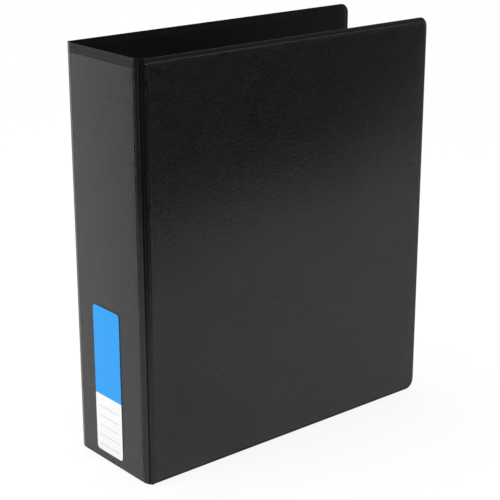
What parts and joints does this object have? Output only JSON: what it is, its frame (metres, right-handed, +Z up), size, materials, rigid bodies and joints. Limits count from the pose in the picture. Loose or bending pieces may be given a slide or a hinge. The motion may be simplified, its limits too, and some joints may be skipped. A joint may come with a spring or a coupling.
{
  "type": "ring binder",
  "caption": "Upright A4 ring binder with vinyl-covered boards, clear overlay pockets on the front and spine, and a lever-opened D-ring mechanism riveted inside the back cover.",
  "frame": {"origin": "on the surface that the binder stands on, under the middle of the closed binder", "axes": "+X from the spine to the free edges of the covers, +Y from the front cover to the back cover, +Z up"},
  "size_m": [0.2819, 0.0951, 0.32],
  "materials": {
    "vinyl": "black vinyl with a fine satin grain",
    "lining": "black vinyl, matt, inside faces",
    "film": "clear soft film with a satin sheen",
    "board": "grey board",
    "label": "coated paper, blue above and white below",
    "steel": "nickel-plated sheet steel",
    "ring": "bright nickel-plated wire",
    "lever": "nickel-plated pressed steel"
  },
  "bodies": {
    "spine": {"spine_board": "board", "spine_skin": "vinyl", "spine_lining": "lining", "spine_overlay": "film", "spine_label": "label", "front_hinge_strip": "vinyl", "back_hinge_strip": "vinyl"},
    "front_cover": {"front_board": "board", "front_skin": "vinyl", "front_lining": "lining", "front_overlay": "film"},
    "back_cover": {"back_board": "board", "back_skin": "vinyl", "back_lining": "lining", "ring_housing": "steel", "rivet_top": "steel", "rivet_bottom": "steel", "lever_pin_top": "steel", "lever_pin_bottom": "steel"},
    "arch_carrier": {"arch_plate": "steel", "ring_arch_1": "ring", "ring_arch_2": "ring", "ring_arch_3": "ring", "ring_arch_4": "ring"},
    "post_carrier": {"post_plate": "steel", "ring_post_1": "ring", "ring_post_2": "ring", "ring_post_3": "ring", "ring_post_4": "ring"},
    "top_lever": {"lever_top": "lever"},
    "bottom_lever": {"lever_bottom": "lever"}
  },
  "joints": [
    {"name": "front_cover_hinge", "type": "hinge", "parent": "spine", "child": "front_cover", "pos_m": [-0.13809, -0.04434, 0.16], "axis": [0, 0, -1], "range_deg": [0, 180], "deforming": ["front_hinge_strip"]},
    {"name": "back_cover_hinge", "type": "hinge", "parent": "spine", "child": "back_cover", "pos_m": [-0.13809, 0.04434, 0.16], "axis": [0, 0, 1], "range_deg": [0, 180], "deforming": ["back_hinge_strip"]},
    {"name": "arch_ring_open", "type": "hinge", "parent": "back_cover", "child": "arch_carrier", "pos_m": [-0.10255, 0.0387, 0.16], "axis": [0, 0, -1], "range_deg": [0, 14]},
    {"name": "post_ring_open", "type": "hinge", "parent": "back_cover", "child": "post_carrier", "pos_m": [-0.07095, 0.0387, 0.16], "axis": [0, 0, 1], "range_deg": [0, 14]},
    {"name": "lever_top_tilt", "type": "hinge", "parent": "back_cover", "child": "top_lever", "pos_m": [-0.08675, 0.0387, 0.294], "axis": [-1, 0, 0], "range_deg": [0, 30.8]},
    {"name": "lever_bottom_tilt", "type": "hinge", "parent": "back_cover", "child": "bottom_lever", "pos_m": [-0.08675, 0.0387, 0.026], "axis": [1, 0, 0], "range_deg": [0, 30.8]}
  ],
  "couplings": [
    {"joint": "post_ring_open", "follows": "arch_ring_open", "ratio": 1},
    {"joint": "lever_top_tilt", "follows": "arch_ring_open", "ratio": 2.2},
    {"joint": "lever_bottom_tilt", "follows": "arch_ring_open", "ratio": 2.2}
  ]
}
